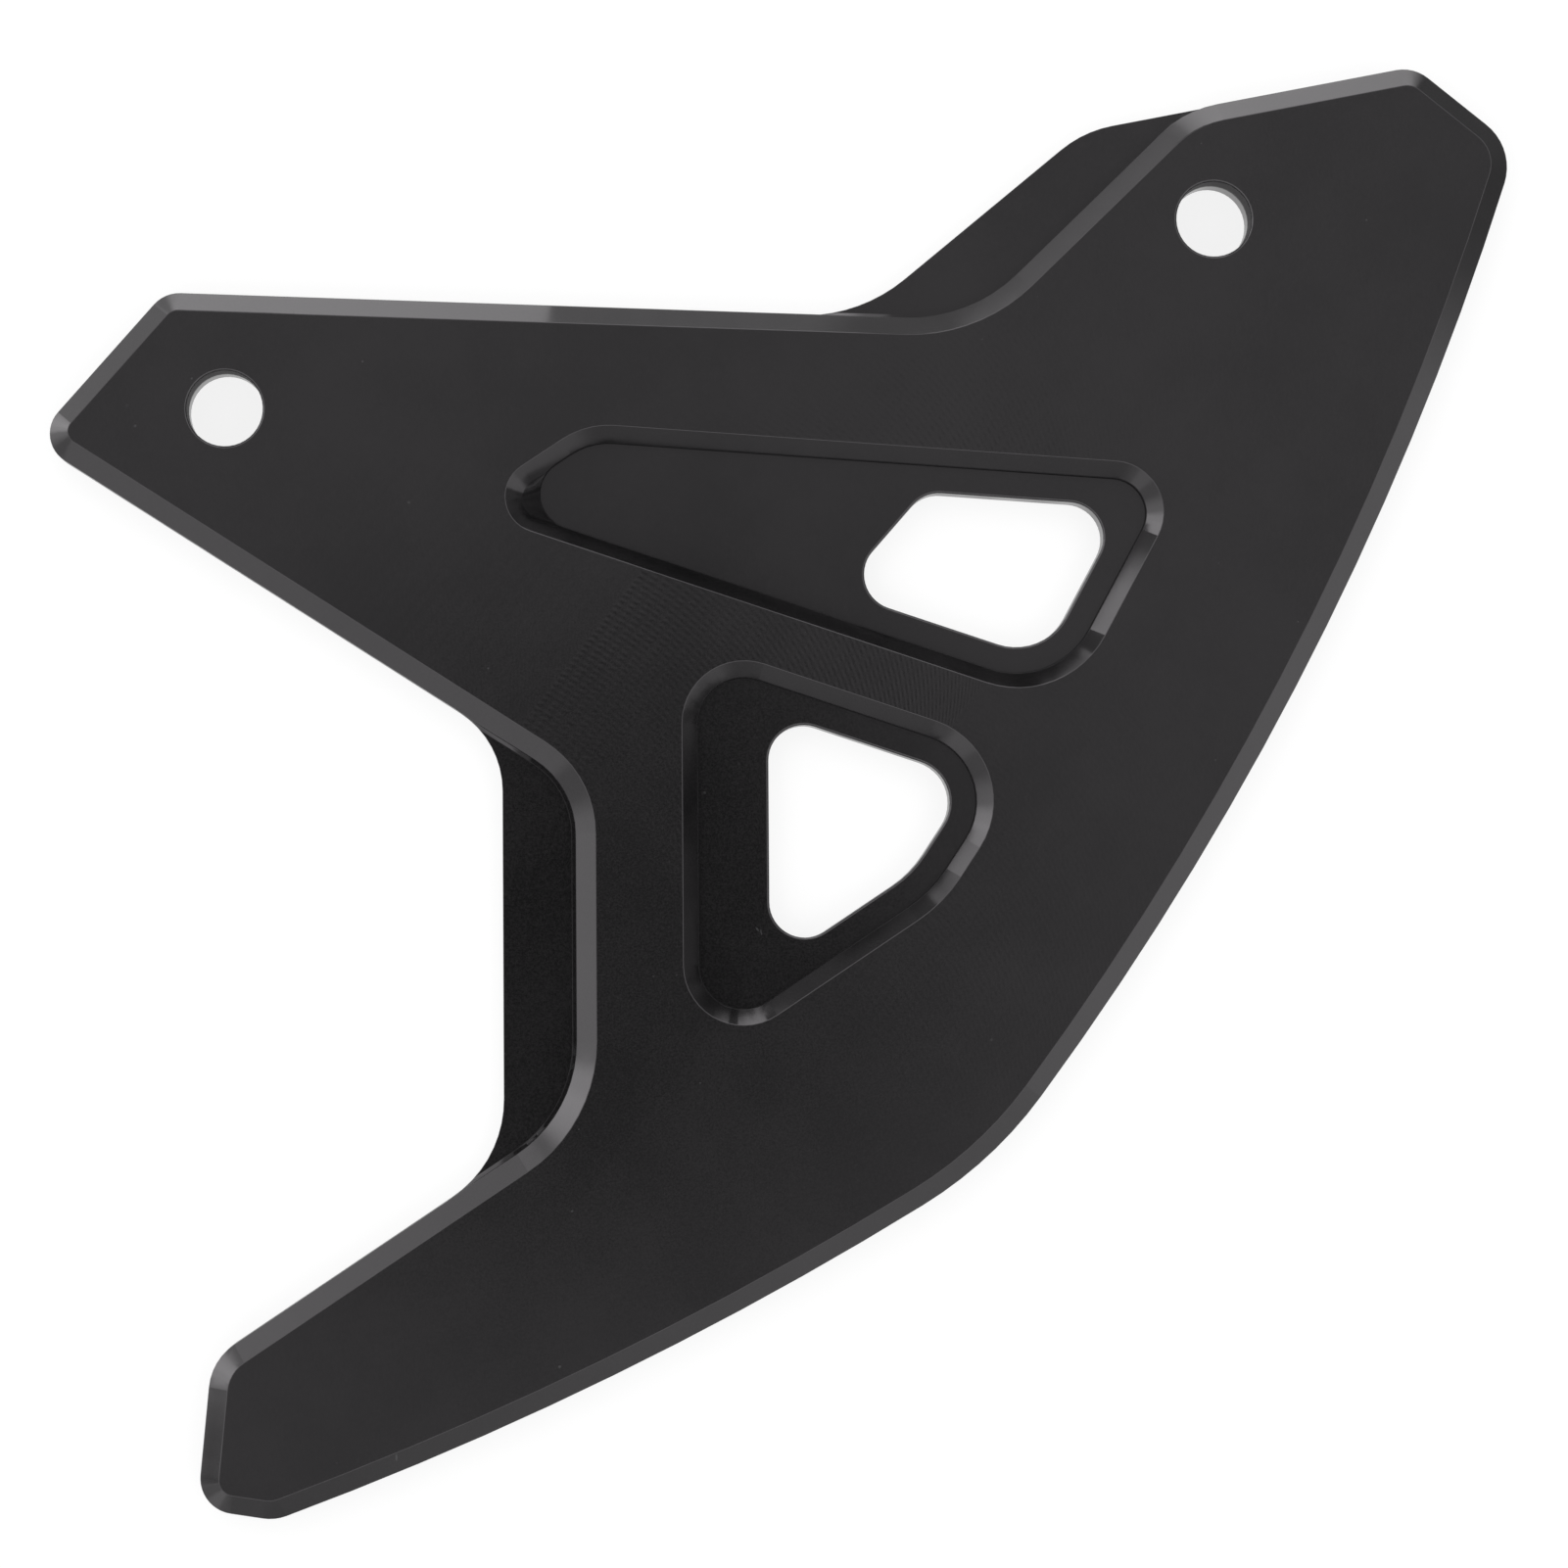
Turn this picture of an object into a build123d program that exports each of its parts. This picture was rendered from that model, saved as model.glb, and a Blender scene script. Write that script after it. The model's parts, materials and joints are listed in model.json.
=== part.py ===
from build123d import *
from math import cos, radians, sin, sqrt, tan
import os

# Brake disc guard for a motorbike: one plate, milled from aluminium, all sizes in millimetres.
# The origin lies midway between the two bolt holes, on the flat back. X runs along the bolt
# line, from the left arm to the right, and Z points out of the front. An edge is given by its
# angle to the bolt line and its distance from a bolt or another point near it.

# Plate and cutters
plate_thickness = 6.0
outer_bevel = 2.25        # round the raised front, as wide as it is deep
ledge_depth = 3.5         # from the front down to the two ledges
ledge_fillet = 0.5        # between a ledge and the raised wall
fillet_overlap = 0.1      # how far that fillet's side lies inside the wall
edge_break = 0.2          # small bevel on holes, windows and the back
tool_radius = 4.0         # tightest inside corner of the pocket floors and windows
run_out = 1.0             # how far a cut starts outside the metal
level_tolerance = 0.001   # for picking the faces and edges at a height

# Bolt holes
bolt_spacing = 113.5
bolt_hole_diameter = 8.5
bolt_margin = 13.1        # bolt line to the top edge of either arm

# Left arm, round the left bolt
left_arm_angle = -12.8
left_arm_end_distance = 14.0
left_arm_end_angle = 37.7
left_arm_low_distance = 14.5
left_arm_low_angle = -43.6
left_arm_top_round = 3.8
left_arm_end_round = 3.65

# Right lobe, round the right bolt
right_cut_distance = 28.5
right_cut_angle = -49.65
right_cut_top_round = 4.5
right_cut_low_round = 6.15
right_arc_distance = 30.2      # right bolt to the long outer edge
right_arc_angle = -31.55
right_arc_radius = 359.0

# Lower arm, round the centre of its rounded tip
lower_tip_x = -73.2
lower_tip_y = -108.75
lower_tip_round = 6.4
lower_arm_angle = 22.7
lower_end_angle = 73.6
lower_cut_distance = 13.9
lower_cut_angle = -19.9
lower_cut_left_round = 4.0
lower_cut_right_round = 5.2
lower_arc_distance = 13.7      # tip centre to the long outer edge
lower_arc_angle = -80.55
lower_arc_radius = 408.8

# Bend between the two long outer edges
bend_radius = 46.8

# Bay between the two arms on the left, with its ledge
spine_angle = 79.2
spine_distance = 16.75         # origin to the raised edge beside the bay
left_ledge_width = 8.2
left_bay_upper_round = 10.0
left_bay_lower_round = 15.0
left_ledge_upper_round = 10.65
left_ledge_lower_round = 13.3

# Bay between the left arm and the right lobe, with its ledge
top_bay_distance = 11.2        # right bolt to the raised edge
top_bay_angle = 33.2
top_bay_right_round = 12.5
top_bay_left_round = 17.5
top_ledge_distance = 17.3      # right bolt to the ledge's edge
top_ledge_angle = 28.65
top_ledge_right_round = 13.1
top_ledge_left_round = 18.1

# Pockets
pocket_depth = 2.5
pocket_bevel = 1.75            # the rim, as wide as it is deep
bevel_overcut = 0.15           # how far the rim cutter reaches below the rim's foot
pocket_floor_fillet = 0.4
window_margin = 4.75           # pocket rim to window
web_width = 5.9                # between the two pockets
web_angle = -29.45
spine_width = 12.0             # raised edge beside the left bay to the lower pocket

# Upper pocket, round a point in its window
upper_x = 25.0
upper_y = -33.0
upper_top_distance = 11.9
upper_top_angle = -15.0
upper_right_distance = 14.9
upper_right_angle = 50.8
upper_low_distance = 13.7
upper_nose_distance = 38.15
upper_nose_angle = 22.6
upper_window_left_distance = 11.05
upper_window_left_angle = 37.9
upper_top_right_round = 5.75
upper_low_right_round = 11.2
upper_nose_low_round = 4.1
upper_nose_top_round = 9.5

# Lower pocket, round a point in its window
lower_x = 4.5
lower_y = -59.5
lower_right_distance = 12.35
lower_right_angle = 45.7
lower_low_distance = 12.35
lower_window_left_margin = 9.75
lower_top_left_round = 7.0
lower_top_right_round = 9.5
lower_low_right_round = 17.25
lower_low_left_round = 6.75

# Levels above the back
front = plate_thickness
ledge = plate_thickness - ledge_depth
pocket_floor = plate_thickness - pocket_depth

# Points that the edges are measured from
ORIGIN = Vector(0, 0)
LEFT_BOLT = Vector(-bolt_spacing / 2, 0)
RIGHT_BOLT = Vector(bolt_spacing / 2, 0)
LOWER_TIP = Vector(lower_tip_x, lower_tip_y)
UPPER_POCKET = Vector(upper_x, upper_y)
LOWER_POCKET = Vector(lower_x, lower_y)


# Plane geometry. An edge is a point on it and its unit normal, which points out of the face.

def unit(angle):
    """The unit vector at an angle to the bolt line."""
    return Vector(cos(radians(angle)), sin(radians(angle)))


def above(base, angle, distance):
    """An edge above a point or to its left, at an angle to the bolt line."""
    normal = unit(angle + 90)
    return base + normal * distance, normal


def below(base, angle, distance):
    """An edge below a point or to its right, at an angle to the bolt line."""
    normal = unit(angle - 90)
    return base + normal * distance, normal


def inset(edge, distance):
    """The edge moved inwards."""
    point, normal = edge
    return point - normal * distance, normal


def facing(edge):
    """The edge of the neighbour on the other side: the same line with its normal turned round."""
    point, normal = edge
    return point, normal * -1


def meet(first, second):
    """The corner where two edges cross."""
    (p, n), (q, m) = first, second
    a = p.dot(n)
    b = q.dot(m)
    turn = n.X * m.Y - n.Y * m.X
    return Vector((a * m.Y - b * n.Y) / turn, (b * n.X - a * m.X) / turn)


def meet_arc(edge, centre, radius, end):
    """Where an edge crosses an arc: end is -1 at the edge's start, 1 at its end, anticlockwise."""
    point, normal = edge
    along = Vector(-normal.Y, normal.X)
    foot = (centre - point).dot(along)
    height = (centre - point).dot(normal)
    return point + along * (foot + end * sqrt(radius**2 - height**2))


def meet_arcs(first, first_radius, second, second_radius):
    """Where two arcs cross, on the left of the line from the first centre to the second."""
    span = second - first
    reach = (first_radius**2 - second_radius**2 + span.length**2) / (2 * span.length)
    side = sqrt(first_radius**2 - reach**2)
    along = span.normalized()
    return first + along * reach + Vector(-along.Y, along.X) * side


def fitted_rounds(corners):
    """The corners' roundings, each limited to what the two sides beside it have room for."""
    turned = corners[-1:] + corners[:-1]
    sides = [point - before for (point, _, _), (before, _, _) in zip(corners, turned)]
    reaches = []
    for (_, rounding, _), before, after in zip(corners, sides, sides[1:] + sides[:1]):
        reaches.append(rounding * tan(radians(before.get_angle(after) / 2)))
    shares = [
        min(1, side.length / (reach + previous))
        for side, reach, previous in zip(sides, reaches, reaches[-1:] + reaches[:-1])
    ]
    return [
        rounding * min(share, following)
        for (_, rounding, _), share, following in zip(corners, shares, shares[1:] + shares[:1])
    ]


def rounded_face(corners):
    """A face from corners in order: each is a point, its rounding and the next side's radius."""
    sides = []
    for (start, _, radius), (end, _, _) in zip(corners, corners[1:] + corners[:1]):
        sides.append(RadiusArc(start, end, -radius) if radius else Line(start, end))
    face = make_face(sides)
    for (point, _, _), rounding in zip(corners, fitted_rounds(corners)):
        face = fillet(face.vertices().sort_by_distance(point)[0], rounding)
    return face


def at_level(shapes, level):
    """Those of the faces or edges that lie flat at a height above the back."""
    return shapes.filter_by_position(Axis.Z, level - level_tolerance, level + level_tolerance)


# Outline

left_arm_top = above(LEFT_BOLT, left_arm_angle, bolt_margin)
left_arm_end = above(LEFT_BOLT, left_arm_end_angle, left_arm_end_distance)
left_arm_low = below(LEFT_BOLT, left_arm_low_angle, left_arm_low_distance)
right_top = above(RIGHT_BOLT, 0, bolt_margin)
right_cut = above(RIGHT_BOLT, right_cut_angle, right_cut_distance)
lower_arm_top = above(LOWER_TIP, lower_arm_angle, lower_tip_round)
lower_arm_end = above(LOWER_TIP, lower_end_angle, lower_tip_round)
lower_cut = below(LOWER_TIP, lower_cut_angle, lower_cut_distance)
spine = above(ORIGIN, spine_angle, spine_distance)
left_ledge = inset(spine, -left_ledge_width)
top_bay = above(RIGHT_BOLT, top_bay_angle, top_bay_distance)
top_ledge = above(RIGHT_BOLT, top_ledge_angle, top_ledge_distance)

right_arc_centre = RIGHT_BOLT - unit(right_arc_angle) * (right_arc_radius - right_arc_distance)
lower_arc_centre = LOWER_TIP - unit(lower_arc_angle) * (lower_arc_radius - lower_arc_distance)


def outline(left_bay, left_rounds, top_bay, top_rounds):
    """The plate's face, for one choice of the edges that close the two bays."""
    lower_end = meet_arc(lower_cut, lower_arc_centre, lower_arc_radius, 1)
    right_start = meet_arc(right_cut, right_arc_centre, right_arc_radius, -1)
    bend = meet_arcs(lower_arc_centre, lower_arc_radius, right_arc_centre, right_arc_radius)
    return rounded_face([
        (lower_end, lower_cut_right_round, lower_arc_radius),
        (bend, bend_radius, right_arc_radius),
        (right_start, right_cut_low_round, None),
        (meet(right_cut, right_top), right_cut_top_round, None),
        (meet(right_top, top_bay), top_rounds[0], None),
        (meet(top_bay, left_arm_top), top_rounds[1], None),
        (meet(left_arm_top, left_arm_end), left_arm_top_round, None),
        (meet(left_arm_end, left_arm_low), left_arm_end_round, None),
        (meet(left_arm_low, left_bay), left_rounds[0], None),
        (meet(left_bay, lower_arm_top), left_rounds[1], None),
        (meet(lower_arm_top, lower_arm_end), lower_tip_round, None),
        (meet(lower_arm_end, lower_cut), lower_cut_left_round, None),
    ])


raised_face = outline(
    spine, (left_bay_upper_round, left_bay_lower_round),
    top_bay, (top_bay_right_round, top_bay_left_round),
)
base_face = outline(
    left_ledge, (left_ledge_upper_round, left_ledge_lower_round),
    top_ledge, (top_ledge_right_round, top_ledge_left_round),
)

# Base, up to the ledges, with a fillet round the raised front that stands on it.
# The fillet's side starts just inside the raised wall, so that it runs out cleanly where a ledge ends.
extent = base_face.bounding_box()
flat = Pos(extent.center()) * Rectangle(extent.size.X + 2 * run_out, extent.size.Y + 2 * run_out)
stock = extrude(flat, ledge, both=True) + extrude(offset(raised_face, -fillet_overlap), front)
foot = at_level(stock.faces(), ledge)[0].inner_wires()[0].edges()
base = extrude(base_face, ledge + ledge_fillet)
base = chamfer(base.faces().sort_by(Axis.Z)[0].edges(), edge_break)
base = base & fillet(foot, ledge_fillet)

# Raised front, sunk halfway into the base
raised = extrude(raised_face, front - ledge / 2)
raised = chamfer(raised.faces().sort_by(Axis.Z)[-1].edges(), outer_bevel)
plate = base + Pos(0, 0, ledge / 2) * raised

# Pockets: the four edges of each, in order round it, with the rounding after each edge
upper_low = below(UPPER_POCKET, web_angle, upper_low_distance)
upper_pocket = [
    (above(UPPER_POCKET, upper_top_angle, upper_top_distance), upper_nose_top_round),
    (above(UPPER_POCKET, upper_nose_angle, upper_nose_distance), upper_nose_low_round),
    (upper_low, upper_low_right_round),
    (below(UPPER_POCKET, upper_right_angle, upper_right_distance), upper_top_right_round),
]
lower_pocket = [
    (facing(inset(upper_low, -web_width)), lower_top_left_round),
    (inset(spine, spine_width), lower_low_left_round),
    (below(LOWER_POCKET, lower_arm_angle, lower_low_distance), lower_low_right_round),
    (below(LOWER_POCKET, lower_right_angle, lower_right_distance), lower_top_right_round),
]
upper_window_left = above(UPPER_POCKET, upper_window_left_angle, upper_window_left_distance)
lower_window_left = inset(lower_pocket[1][0], lower_window_left_margin)


def pocket_face(sides, margin, smallest_round=0.0, far_side=None):
    """The pocket's shape inside its rim; far_side takes the place of the second edge."""
    edges = [inset(edge, margin) for edge, _ in sides]
    rounds = [max(rounding - margin, smallest_round) for _, rounding in sides]
    if far_side:
        edges[1] = inset(far_side, margin - window_margin)
        rounds[:2] = [smallest_round, smallest_round]
    turned = edges[1:] + edges[:1]
    return rounded_face([
        (meet(edge, following), rounding, None)
        for edge, following, rounding in zip(edges, turned, rounds)
    ])


def rim_cut(sides, margin, width, smallest_round=0.0, far_side=None):
    """Widens upwards as much as it rises, to the pocket's shape inside a margin at its width."""
    mouth = pocket_face(sides, margin - run_out, smallest_round + run_out, far_side)
    cut = extrude(mouth, width + 2 * run_out)
    return chamfer(cut.faces().sort_by(Axis.Z)[0].edges(), width + run_out)


def pocket_cut(sides):
    """What the rim cutter and the floor cutter take away."""
    rim_depth = pocket_bevel + bevel_overcut
    floor = extrude(pocket_face(sides, pocket_bevel, tool_radius), pocket_depth)
    floor = fillet(floor.faces().sort_by(Axis.Z)[0].edges(), pocket_floor_fillet)
    return Pos(0, 0, front - rim_depth) * rim_cut(sides, 0, rim_depth) + Pos(0, 0, pocket_floor) * floor


def window_cut(sides, far_side):
    """The opening through a pocket's floor, with its upper and lower edges broken."""
    opening = extrude(pocket_face(sides, window_margin, tool_radius, far_side), front, both=True)
    rim = rim_cut(sides, window_margin - edge_break, edge_break, tool_radius + edge_break, far_side)
    upper_rim = Pos(0, 0, pocket_floor - edge_break) * rim
    lower_rim = Pos(0, 0, edge_break) * mirror(rim, about=Plane.XY)
    return opening + upper_rim + lower_rim


plate -= pocket_cut(upper_pocket) + window_cut(upper_pocket, upper_window_left)
plate -= pocket_cut(lower_pocket) + window_cut(lower_pocket, lower_window_left)

# Bolt holes, with broken edges
hole_radius = bolt_hole_diameter / 2
rim_height = edge_break + run_out
hole = Cylinder(hole_radius, 2 * plate_thickness + 2 * run_out)
hole_rim = Pos(0, 0, rim_height / 2) * Cone(hole_radius, hole_radius + rim_height, rim_height)
hole += Pos(0, 0, front - edge_break) * hole_rim
hole += Pos(0, 0, edge_break) * mirror(hole_rim, about=Plane.XY)
for bolt in (LEFT_BOLT, RIGHT_BOLT):
    plate -= Pos(bolt) * hole

disc_guard = plate.solid()
disc_guard.label = "disc_guard"

os.makedirs("parts", exist_ok=True)
export_step(disc_guard, "parts/disc_guard.step")
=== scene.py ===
import json
from math import cos, pi, radians, sin

import bmesh
import bpy
import numpy as np
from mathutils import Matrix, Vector


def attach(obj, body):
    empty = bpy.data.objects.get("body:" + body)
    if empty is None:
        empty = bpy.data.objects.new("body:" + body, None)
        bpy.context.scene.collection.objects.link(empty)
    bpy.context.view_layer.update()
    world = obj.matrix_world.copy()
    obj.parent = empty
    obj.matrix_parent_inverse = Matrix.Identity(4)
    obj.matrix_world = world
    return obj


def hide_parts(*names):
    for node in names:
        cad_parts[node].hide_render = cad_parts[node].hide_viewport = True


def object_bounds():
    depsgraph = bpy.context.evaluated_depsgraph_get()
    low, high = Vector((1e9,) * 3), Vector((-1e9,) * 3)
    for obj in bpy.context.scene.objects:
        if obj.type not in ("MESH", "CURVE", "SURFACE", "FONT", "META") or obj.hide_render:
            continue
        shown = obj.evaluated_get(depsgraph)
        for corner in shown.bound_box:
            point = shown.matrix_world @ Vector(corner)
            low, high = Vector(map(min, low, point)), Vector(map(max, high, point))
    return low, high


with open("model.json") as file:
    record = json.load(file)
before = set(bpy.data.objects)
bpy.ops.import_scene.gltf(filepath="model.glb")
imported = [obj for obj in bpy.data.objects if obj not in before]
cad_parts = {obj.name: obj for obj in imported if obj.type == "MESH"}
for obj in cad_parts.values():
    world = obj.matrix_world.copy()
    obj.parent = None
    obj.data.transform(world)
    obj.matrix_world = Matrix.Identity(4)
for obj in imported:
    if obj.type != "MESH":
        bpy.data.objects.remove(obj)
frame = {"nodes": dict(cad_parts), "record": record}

bl_info = {
    "name": "Brake Disc Guard",
    "version": (1, 0, 0),
    "blender": (4, 5, 0),
    "location": "3D View > Sidebar > Disc Guard",
    "description": "Makes a milled and black anodised brake disc guard, and a pale studio round it",
    "category": "Object",
}

CAD_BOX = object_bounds()
GUARD_NODE = "disc_guard"
MM = 0.001

# The kinds of cut in the plate, each with its own finish: a cut's kind is its place in this row
FINISHES = ("front", "back", "floor", "bevel", "wall", "bore")

# What tells the cuts apart
LEVEL = 0.9999              # a face is level where its normal's height is more than this
BEVEL_TILTS = (0.3, 0.85)   # a bevel's normals have a mean height between these
FACE_MARGIN = 0.1 * MM      # a flat cut this near to the plate's top or underside belongs to it
CORNER_RADIUS = 0.5 * MM    # of the corner where a floor meets its wall
CORNER_SPLIT = 0.7          # such a corner's faces go with the floor above this, else with the wall
BOLT_BORES = [mount for mount in frame["record"]["mounts"] if mount["kind"] == "bore"]
BORE_MARGIN = 1.1           # a bolt hole's wall lies within its radius times this

# How closely the skin is read
WELD_DISTANCE = 0.0001 * MM
LEVEL_EDGE = 0.001 * MM     # an edge is level where its ends' heights differ by less than this
HEIGHT_STEP = 0.01 * MM     # heights that round to the same number of these count as one
SHORTEST_LEAN = 0.01        # a corner's normal that leans less than this is left as it is
NARROWEST_CUT = 5.0         # in edge bands: narrower cuts get no band of their own

# How the finishes look
LAYER_IOR = 1.7             # refraction of the dyed layer
BUMP_DEPTH = 0.01 * MM      # what a height of 1 stands for
PASS_TONE = 0.06            # rougher on the face mill's passes beside the middle one
SPECK_RARITY = 4.0          # the higher, the fewer specks are bright
RUBBED_BORE_HEIGHTS = (2.3 * MM, 3.3 * MM)   # a bolt has rubbed its hole's wall above these

# The values of a noise between which an effect goes from its least to its most
THIN_LAYER_LIMITS = (0.75, 1.25)    # of two noises added up
RUBBING_LIMITS = (0.25, 0.75)
MARK_DEPTH_LIMITS = (0.35, 0.65)
ROUGHNESS_LIMITS = (0.3, 0.7)

# The face mill's marks on the front and the back
FRONT_MARKS = {"turn": radians(-139), "offset": (-11.1 * MM, -32.5 * MM), "depth": 0.55}
BACK_MARKS = {"turn": radians(20), "offset": (0.0, 10.0 * MM), "depth": 0.05}

# Short scratches by the finish they lie in: place in mm, heading, half length and half width in mm
SCRATCHES = {
    "floor": (((-9.42, -68.77), -64, 0.42, 0.11), ((-9.07, -69.18), -89, 0.4, 0.11)),
    "bevel": (((-60.27, -118.55), -103, 0.55, 0.14),),
}


# Settings

class GuardSettings(bpy.types.PropertyGroup):
    """Sizes and colours of the milled plate."""
    edge_band: bpy.props.FloatProperty(
        name="Edge band", description="Width of the rubbed band beside each edge",
        default=0.08 * MM, min=0.0, precision=5, unit="LENGTH", subtype="DISTANCE")
    widest_fold: bpy.props.FloatProperty(
        name="Widest smooth fold", description="Faces that fold less than this belong to one cut",
        default=radians(22), unit="ROTATION", subtype="ANGLE")
    black: bpy.props.FloatVectorProperty(
        name="Anodised black", description="Colour of the dyed layer",
        default=(0.0062, 0.0061, 0.0063), size=3, min=0.0, max=1.0, subtype="COLOR")
    thin_black: bpy.props.FloatVectorProperty(
        name="Thin black", description="Colour where the dyed layer is thinner",
        default=(0.0122, 0.0117, 0.0121), size=3, min=0.0, max=1.0, subtype="COLOR")
    reflection_tint: bpy.props.FloatVectorProperty(
        name="Reflection tint", description="Tint of what the dyed layer reflects",
        default=(1.0, 0.962, 1.0), size=3, min=0.0, max=1.0, subtype="COLOR")
    # The edges' lighter colour and how far it goes: partly scuffed metal, partly a painted highlight along
    # the edges.
    rubbed_and_highlight: bpy.props.FloatVectorProperty(
        name="Rubbed edge", description="Colour where the edges are rubbed",
        default=(0.05, 0.049, 0.051), size=3, min=0.0, max=1.0, subtype="COLOR")
    rubbing_and_highlight: bpy.props.FloatProperty(
        name="Rubbing And Highlight", description="How far the edges are rubbed",
        default=0.6, min=0.0, max=1.0, subtype="FACTOR")
    mark_spacing: bpy.props.FloatProperty(
        name="Mark spacing", description="Distance between the face mill's marks",
        default=0.7 * MM, precision=5, unit="LENGTH", subtype="DISTANCE")
    cutter_radius: bpy.props.FloatProperty(
        name="Cutter radius", description="Radius of the face mill that cut the front",
        default=36 * MM, precision=4, unit="LENGTH", subtype="DISTANCE")
    pass_width: bpy.props.FloatProperty(
        name="Pass width", description="Distance between the face mill's passes",
        default=38 * MM, precision=4, unit="LENGTH", subtype="DISTANCE")


class StudioSettings(bpy.types.PropertyGroup):
    """Camera, floor and light."""
    camera_place: bpy.props.FloatVectorProperty(
        name="Camera place", description="Where the camera stands, above the plate",
        default=(-26.6 * MM, -68.63 * MM, 510.3 * MM), unit="LENGTH", subtype="TRANSLATION")
    camera_turn: bpy.props.FloatVectorProperty(
        name="Camera turn", description="The camera's rotation",
        default=(radians(2.2098), radians(-2.2454), radians(-11.1916)), unit="ROTATION", subtype="EULER")
    camera_lens: bpy.props.FloatProperty(
        name="Lens", description="Focal length on a 36 mm sensor, in millimetres", default=103.435)
    floor_size: bpy.props.FloatProperty(
        name="Floor size", description="Side of the square floor",
        default=3.0, unit="LENGTH", subtype="DISTANCE")
    floor_colour: bpy.props.FloatVectorProperty(
        name="Floor colour", description="Colour of the floor",
        default=(0.8, 0.8, 0.8), size=3, min=0.0, max=1.0, subtype="COLOR")
    sky_level: bpy.props.FloatProperty(
        name="Sky level", description="Soft light from above, beside the camera", default=1.1, min=0.0)
    round_level: bpy.props.FloatProperty(
        name="Level all round", description="Soft light from the sides", default=0.6, min=0.0)


# Node helpers

def place(tree, kind, inputs=None, **values):
    """A node of one kind with its plain settings; an input takes a value or another node's output."""
    node = tree.nodes.new(kind)
    for name, value in values.items():
        setattr(node, name, value)
    for name, value in (inputs or {}).items():
        if isinstance(value, bpy.types.NodeSocket):
            tree.links.new(value, node.inputs[name])
        else:
            node.inputs[name].default_value = value
    return node


def maths(tree, operation, first, second=0.0, third=0.0):
    """One step of arithmetic on up to three numbers."""
    node = place(tree, "ShaderNodeMath", {0: first, 1: second, 2: third}, operation=operation)
    return node.outputs[0]


def new_group(name, kind, inputs, outputs):
    """A node group with named inputs and outputs, and its two end nodes."""
    group = bpy.data.node_groups.new(name, kind)
    for label, socket, value in inputs:
        made = group.interface.new_socket(name=label, in_out="INPUT", socket_type=socket)
        if value is not None:
            made.default_value = value
    for label, socket in outputs:
        group.interface.new_socket(name=label, in_out="OUTPUT", socket_type=socket)
    return group, group.nodes.new("NodeGroupInput"), group.nodes.new("NodeGroupOutput")


def use_group(tree, group, inputs):
    """A group placed in a material, with its own values."""
    return place(tree, "ShaderNodeGroup", inputs, node_tree=group)


def new_material(name):
    """A material with an empty node tree, and that tree."""
    material = bpy.data.materials.new(name)
    material.use_nodes = True
    material.node_tree.nodes.clear()
    return material, material.node_tree


def spread(tree, value, low, high, to_low=0.0, to_high=1.0):
    """Brings a value smoothly from one range to another."""
    node = place(tree, "ShaderNodeMapRange", {
        "Value": value, "From Min": low, "From Max": high, "To Min": to_low, "To Max": to_high,
    }, interpolation_type="SMOOTHSTEP")
    return node.outputs["Result"]


# Effects that the finishes share

def make_dyed_layer():
    """Where the dyed layer is thinner, and the light specks on it."""
    group, start, end = new_group("dyed_layer", "ShaderNodeTree", [
        ("Vector", "NodeSocketVector", None),
        ("Cloud Scale", "NodeSocketFloat", 60.0),
        ("Grain Scale", "NodeSocketFloat", 4200.0),
        ("Speck Scale", "NodeSocketFloat", 420.0),
        ("Speck Size", "NodeSocketFloat", 0.075),
    ], [("Thinness", "NodeSocketFloat"), ("Grain", "NodeSocketFloat"), ("Specks", "NodeSocketFloat")])
    cloud = place(group, "ShaderNodeTexNoise", {
        "Vector": start.outputs["Vector"], "Scale": start.outputs["Cloud Scale"],
        "Detail": 5.0, "Roughness": 0.6})
    grain = place(group, "ShaderNodeTexNoise", {
        "Vector": start.outputs["Vector"], "Scale": start.outputs["Grain Scale"],
        "Detail": 2.0, "Roughness": 0.7})
    cells = place(group, "ShaderNodeTexVoronoi", {
        "Vector": start.outputs["Vector"], "Scale": start.outputs["Speck Scale"]})
    chance = place(group, "ShaderNodeSeparateColor", {"Color": cells.outputs["Color"]})
    bright = maths(group, "POWER", chance.outputs["Red"], SPECK_RARITY)
    size = maths(group, "MULTIPLY", start.outputs["Speck Size"], chance.outputs["Green"])
    near = maths(group, "LESS_THAN", cells.outputs["Distance"], size)
    both = maths(group, "ADD", cloud.outputs["Fac"], grain.outputs["Fac"])
    group.links.new(spread(group, both, *THIN_LAYER_LIMITS), end.inputs["Thinness"])
    group.links.new(grain.outputs["Fac"], end.inputs["Grain"])
    group.links.new(maths(group, "MULTIPLY", near, bright), end.inputs["Specks"])
    return group


def make_edge_rub_and_highlight():
    """The lighter bands along the edges, broken up a little: partly scuffed metal, partly a painted
    highlight.
    """
    group, start, end = new_group("edge_rub_and_highlight", "ShaderNodeTree", [
        ("Vector", "NodeSocketVector", None),
        ("Wear And Highlight", "NodeSocketFloat", 0.0),
        ("Amount", "NodeSocketFloat", 0.5),
        ("Patch Scale", "NodeSocketFloat", 700.0),
        ("Least", "NodeSocketFloat", 0.35),
        ("Falloff", "NodeSocketFloat", 1.6),
    ], [("Rubbed And Highlight", "NodeSocketFloat")])
    patchy = place(group, "ShaderNodeTexNoise", {
        "Vector": start.outputs["Vector"], "Scale": start.outputs["Patch Scale"], "Detail": 3.0})
    share = spread(group, patchy.outputs["Fac"], *RUBBING_LIMITS, start.outputs["Least"], 1.0)
    near = maths(group, "POWER", start.outputs["Wear And Highlight"], start.outputs["Falloff"])
    worn_and_highlight = maths(group, "MULTIPLY", near, share)
    group.links.new(maths(group, "MULTIPLY", worn_and_highlight, start.outputs["Amount"]), end.inputs["Rubbed And Highlight"])
    return group


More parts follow.
